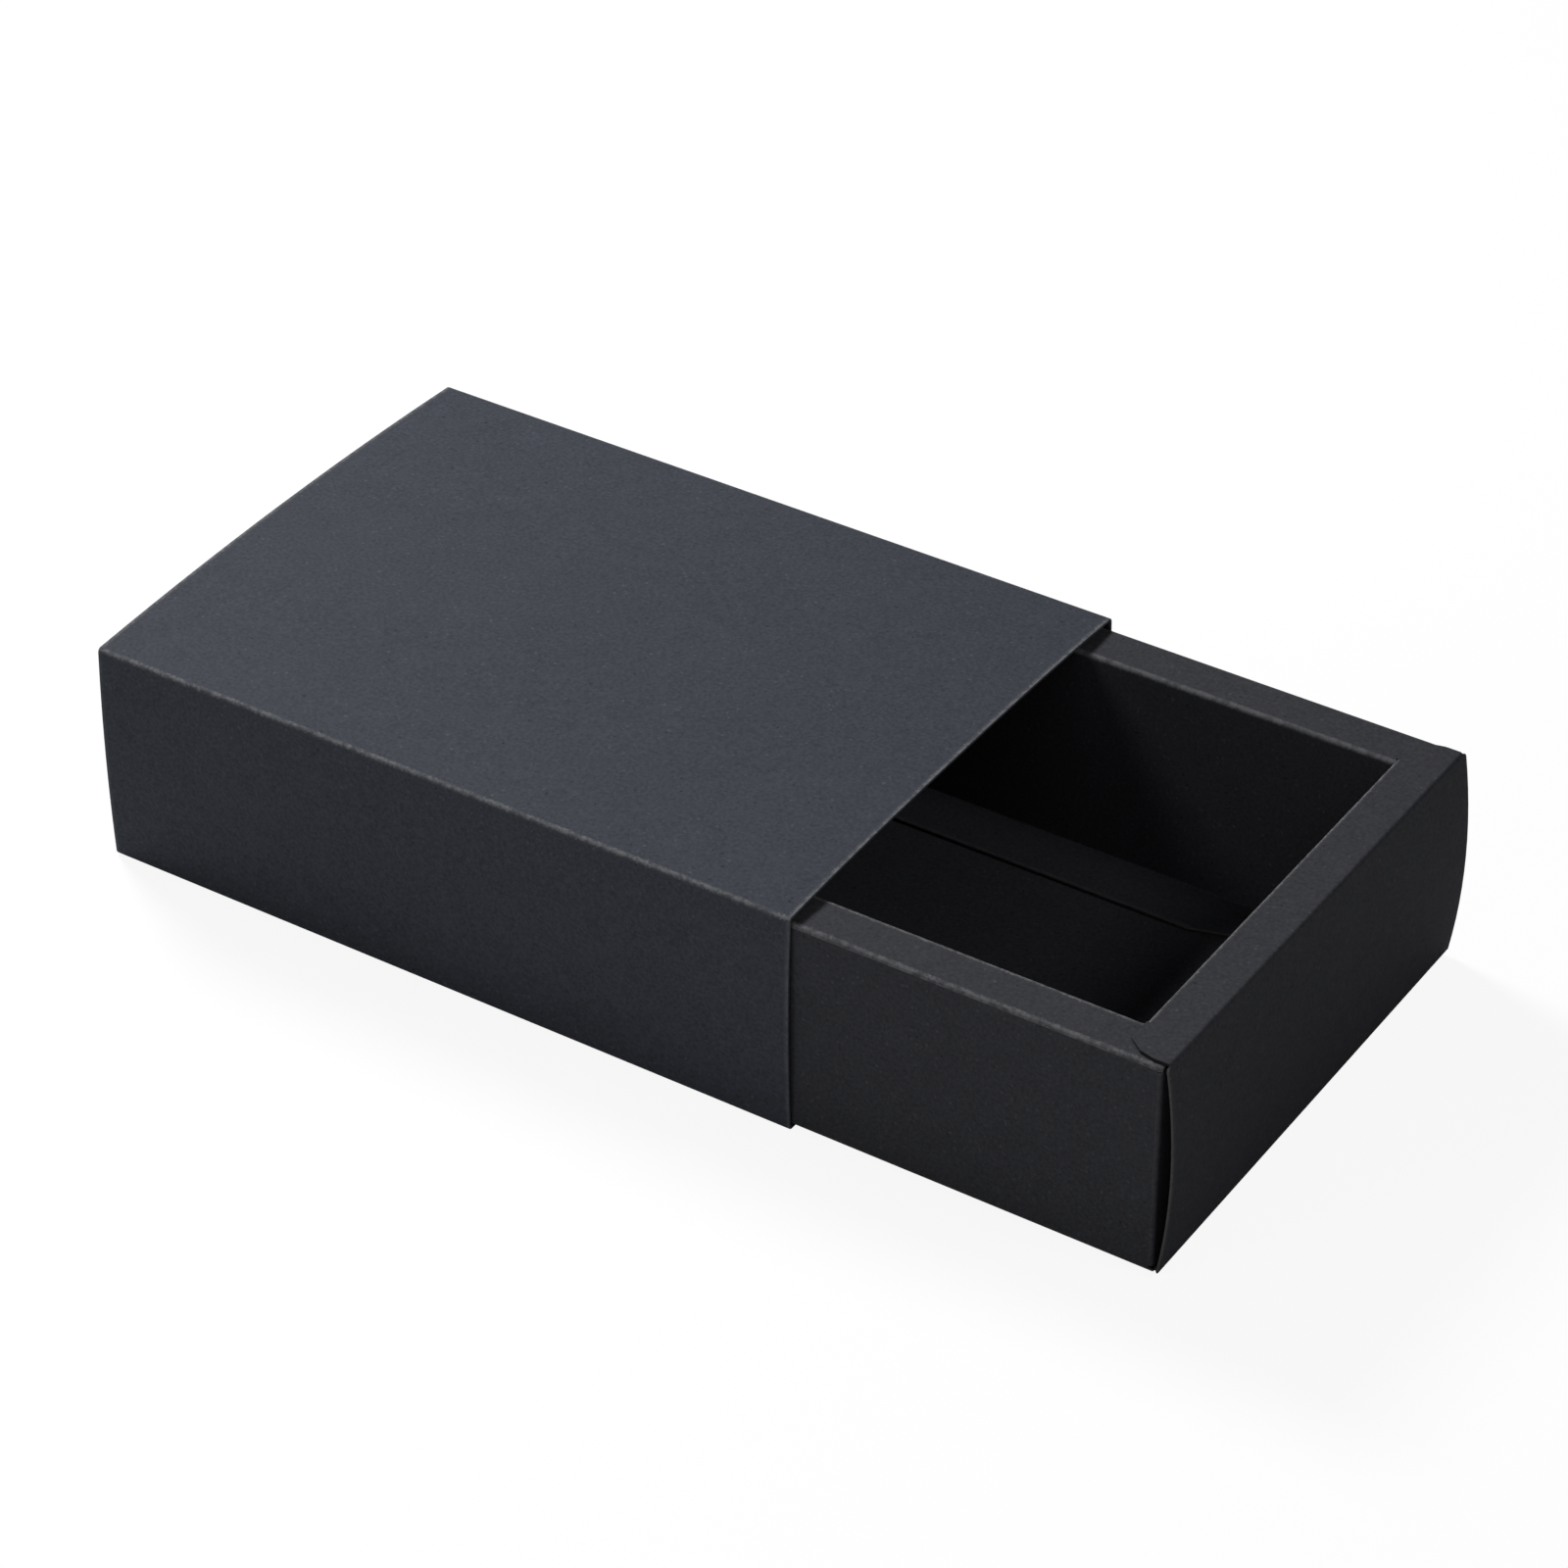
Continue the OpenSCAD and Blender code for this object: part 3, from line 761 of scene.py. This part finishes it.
def side_flap_span(wall):
    """The floor flap of a side wall narrows towards both ends."""
    room = wall.half - wall.rim_w

    def span(s):
        reach = room - wall.flap.at(s)[0]
        share = max(0.0, reach - FLAP_TIP_W) / (FLOOR_FLAP_W - FLAP_TIP_W)
        return both_ways(SIDE_FLAP_HALF_L - FLAP_SLANT * share)

    return span


def side_inner_span(wall):
    """The inner wall of a side is notched beside the end walls' floor folds."""
    notch_top = FLOOR_TOP + 2 * FOLD_R

    def span(s):
        return both_ways(SIDE_INNER_HALF_L if wall.inner.at(s)[1] > notch_top else SIDE_FLAP_HALF_L)

    return span


def build_side(side_name, wall, place, side, material):
    reach = both_ways(SIDE_HALF_L - FOLD_R)
    fold_start = (SIDE_HALF_L - FOLD_R, TRAY_HALF_W - CARD_T / 2, 0.0)
    fold_middle = move_on(fold_start, fold(-45))
    start, foot, head, _ = wall.outer.stations
    bottom_fold, rise, top_fold = wall.outer.arcs
    whole = both_ways(SIDE_HALF_L)
    outer = [
        Sheet(Line(start, [bottom_fold]), whole, place, wear_highlight=(0.25, 0.25, 0.2)),
        Sheet(Line(foot, [rise]), reach, place, cut=(False, False)),
        Sheet(Line(head, [top_fold]), whole, place, wear_highlight=(wall.wear_highlight_amount[0], wall.wear_highlight_amount[0], 0.2)),
    ]
    upright = (DUST_LOW, DUST_HIGH)
    for end in (1, -1):
        outer.append(Sheet(Line(fold_start, [fold(-45)]), upright, plan_place(side, end)))
    name = "tray_" + side_name
    piece(name + "_outer_wall", "tray", outer, material)
    rim = Sheet(wall.rim, whole, place, wear_highlight=(*wall.wear_highlight_amount, 0.2), spread=RIM_WEAR_HIGHLIGHT_SPREAD)
    piece(name + "_rim", "tray", [rim], material)
    inner = Sheet(wall.inner, side_inner_span(wall), place, outline_slope=False,
                  wear_highlight=(wall.wear_highlight_amount[1], 0.0, 0.2))
    piece(name + "_inner_wall", "tray", [inner], material)
    flap = Sheet(wall.flap, side_flap_span(wall), place, free=(False, True))
    piece(name + "_floor_flap", "tray", [flap], material)

    dust_line = Line(fold_middle, [fold(-45), straight(DUST_FLAP_L - FOLD_R)])
    cut = math.tan(math.radians(DUST_FLAP_CUT))

    def dust_span(s):
        back = max(0.0, s - dust_line.marks[1]) * cut
        return (DUST_LOW + back, DUST_HIGH - back)

    for end_name, end in (("front", 1), ("back", -1)):
        dust = Sheet(dust_line, dust_span, plan_place(side, end), free=(False, True))
        piece(f"{side_name}_{end_name}_dust_flap", "tray", [dust], material)


def tongue_reach(x):
    """Distance of a tongue's edge from the tray's middle line, at the distance x from its centre."""
    centre_x = TRAY_HALF_L - TONGUE_SIDE
    centre_y = TRAY_HALF_W - TONGUE_INSET - TONGUE_R
    if x >= centre_x:
        return centre_y + TONGUE_R
    return centre_y + math.sqrt(max(0.0, TONGUE_R ** 2 - (centre_x - x) ** 2))


def come_in(over, radius):
    """How far a rounded corner has come in at the distance over past its start."""
    share = min(1.0, max(0.0, over / radius))
    return radius * (1 - math.sqrt(1 - share ** 2))


def end_wall_span(s):
    """An end wall's corners are rounded, those at the top down to the sides of the tongues."""
    level = ROUNDED_END_WALL.at(s)[1]
    at_top = come_in(level - (END_TOP - FOLD_R / 2 - TONGUE_INSET), TONGUE_INSET)
    at_bottom = come_in(TRAY_BOTTOM + FOLD_R - level, FOLD_R)
    return both_ways(TRAY_HALF_W - at_top - at_bottom)


def build_end(end_name, place, material):
    between = (INNER_NEAR, INNER_FAR)
    rim_between = (-ROOM_NEAR - RIM_RUN_ON, ROOM_FAR + RIM_RUN_ON)
    name = "tray_" + end_name
    outer = Sheet(ROUNDED_END_WALL, end_wall_span, place, wear_highlight=(0.2, END.wear_highlight_amount[0], 0.15))
    piece(name + "_outer_wall", "tray", [outer], material)

    def far_tongue(s):
        return (rim_between[1], tongue_reach(END.flat_rim.at(s)[0]))

    def near_tongue(s):
        return (-tongue_reach(END.flat_rim.at(s)[0]), rim_between[0])

    # The tongues' cut edges get a painted shade through their darker core tone
    rim = [
        Sheet(END.rim, rim_between, place, cut=(False, False), wear_highlight=(*END.wear_highlight_amount, 0.0)),
        Sheet(END.flat_rim, far_tongue, place, free=(False, True), cut=(False, True),
              wear_highlight=NO_WEAR_HIGHLIGHT, core_and_shade=TONGUE_EDGE_SHADE),
        Sheet(END.flat_rim, near_tongue, place, free=(False, True), cut=(True, False),
              wear_highlight=NO_WEAR_HIGHLIGHT, core_and_shade=TONGUE_EDGE_SHADE),
    ]
    piece(name + "_rim", "tray", rim, material)
    inner = Sheet(END.inner, between, place, wear_highlight=(END.wear_highlight_amount[1], 0.0, 0.2))
    piece(name + "_inner_wall", "tray", [inner], material)

    slope = (FLOOR_FLAP_W - FLAP_TIP_W) / FLAP_SLANT
    near_root = INNER_NEAR + FLAP_TIP_W + CUT_GAP
    far_root = INNER_FAR - FLAP_TIP_W - CUT_GAP

    def flap_span(s):
        reach = max(0.0, ROOM_HALF_L - END.flap.at(s)[0])
        return (near_root + slope * reach, far_root - slope * reach)

    flap = Sheet(END.flap, flap_span, place, free=(False, True))
    piece(name + "_floor_flap", "tray", [flap], material)


def build_tray(material):
    build_floor(material)
    build_side("near", NEAR_SIDE, NEAR, -1, material)
    build_side("far", FAR_SIDE, FAR, 1, material)
    build_end("front", FRONT, material)
    build_end("back", BACK, material)


# ---- Stage: floor, light and camera ----
FLOOR_Z = -0.0004
FLOOR_HALF = 4.0
FLOOR_BOUNCE = 0.60      # colour of the floor for light that comes off it
FLOOR_SHOWN = 0.16       # colour of the floor to the camera, which its glow makes white
FLOOR_GLOW = 0.90
SKY_LIGHT = 0.01
LIT_POINT = (0.07, 0.0, 0.05)

# Each lamp's place in metres, size in metres and power in watts
LAMPS = {
    "key": ((-0.993, 0.387, 1.180), 0.5, 19.1),
    "right_fill": ((1.200, 0.000, 1.180), 0.5, 3.1),
    "left_fill": ((-0.290, -1.240, 0.700), 0.30, 1.65),
    "near_fill": ((0.220, -0.550, 0.500), 0.4, 0.17),
    "low_fill": ((0.350, -0.600, 0.150), 0.4, 0.19),
}


def build_floor_plane():
    """A pale floor. It shows white, keeps the box's shadow and lights the sides from below."""
    mesh = bpy.data.meshes.new("floor")
    h = FLOOR_HALF
    mesh.from_pydata([(-h, -h, FLOOR_Z), (h, -h, FLOOR_Z), (h, h, FLOOR_Z), (-h, h, FLOOR_Z)],
                     [], [(0, 1, 2, 3)])
    thing = bpy.data.objects.new("floor", mesh)
    bpy.context.scene.collection.objects.link(thing)
    n = Nodes("floor_white")
    seen = n.add("ShaderNodeLightPath").outputs["Is Camera Ray"]
    shown = n.add("ShaderNodeBsdfDiffuse", {"Color": rgba((FLOOR_SHOWN,) * 3)})
    glow = n.add("ShaderNodeEmission", {"Color": (1, 1, 1, 1), "Strength": FLOOR_GLOW})
    both = n.add("ShaderNodeAddShader")
    n.tree.links.new(shown.outputs[0], both.inputs[0])
    n.tree.links.new(glow.outputs[0], both.inputs[1])
    plain = n.add("ShaderNodeBsdfDiffuse", {"Color": rgba((FLOOR_BOUNCE,) * 3)})
    mixed = n.add("ShaderNodeMixShader", {0: seen})
    n.tree.links.new(plain.outputs[0], mixed.inputs[1])
    n.tree.links.new(both.outputs[0], mixed.inputs[2])
    out = n.add("ShaderNodeOutputMaterial")
    n.tree.links.new(mixed.outputs[0], out.inputs[0])
    mesh.materials.append(n.material)


def build_world():
    world = bpy.data.worlds.new("studio")
    bpy.context.scene.world = world
    world.use_nodes = True
    tree = world.node_tree
    tree.nodes.clear()
    seen = tree.nodes.new("ShaderNodeLightPath").outputs["Is Camera Ray"]
    plain = tree.nodes.new("ShaderNodeBackground")
    plain.inputs["Color"].default_value = (1, 1, 1, 1)
    plain.inputs["Strength"].default_value = SKY_LIGHT
    white = tree.nodes.new("ShaderNodeBackground")
    white.inputs["Color"].default_value = (1, 1, 1, 1)
    white.inputs["Strength"].default_value = 1.0
    mixed = tree.nodes.new("ShaderNodeMixShader")
    tree.links.new(seen, mixed.inputs[0])
    tree.links.new(plain.outputs[0], mixed.inputs[1])
    tree.links.new(white.outputs[0], mixed.inputs[2])
    out = tree.nodes.new("ShaderNodeOutputWorld")
    tree.links.new(mixed.outputs[0], out.inputs[0])


def add_lamp(name, place, aim, size, power):
    lamp = bpy.data.lights.new(name, "AREA")
    lamp.shape = "DISK"
    lamp.size = size
    lamp.energy = power
    thing = bpy.data.objects.new(name, lamp)
    thing.location = place
    thing.rotation_mode = "QUATERNION"
    thing.rotation_quaternion = (Vector(aim) - Vector(place)).to_track_quat("-Z", "Y")
    bpy.context.scene.collection.objects.link(thing)


def build_camera():
    camera = bpy.data.cameras.new("camera")
    camera.lens = CAMERA_LENS
    camera.sensor_width = CAMERA_SENSOR
    camera.clip_start = 0.05
    camera.clip_end = 50.0
    thing = bpy.data.objects.new("camera", camera)
    right = Vector(CAMERA_RIGHT)
    up = -Vector(CAMERA_DOWN)
    back = -Vector(CAMERA_AHEAD)
    turned = Matrix((right, up, back)).transposed().to_4x4()
    thing.matrix_world = Matrix.Translation(Vector(CAMERA_AT) * MM) @ turned
    bpy.context.scene.collection.objects.link(thing)
    bpy.context.scene.camera = thing


build_camera()
build_sleeve(card_material("sleeve_card", SLEEVE_FACE, SLEEVE_WEAR_HIGHLIGHT, SLEEVE_CORE))
build_tray(card_material("tray_card", TRAY_FACE, TRAY_WEAR_HIGHLIGHT, TRAY_CORE))
build_floor_plane()
build_world()
for lamp_name, (lamp_at, lamp_size, lamp_power) in LAMPS.items():
    add_lamp(lamp_name, lamp_at, LIT_POINT, lamp_size, lamp_power)
bpy.context.scene.view_settings.view_transform = "Standard"
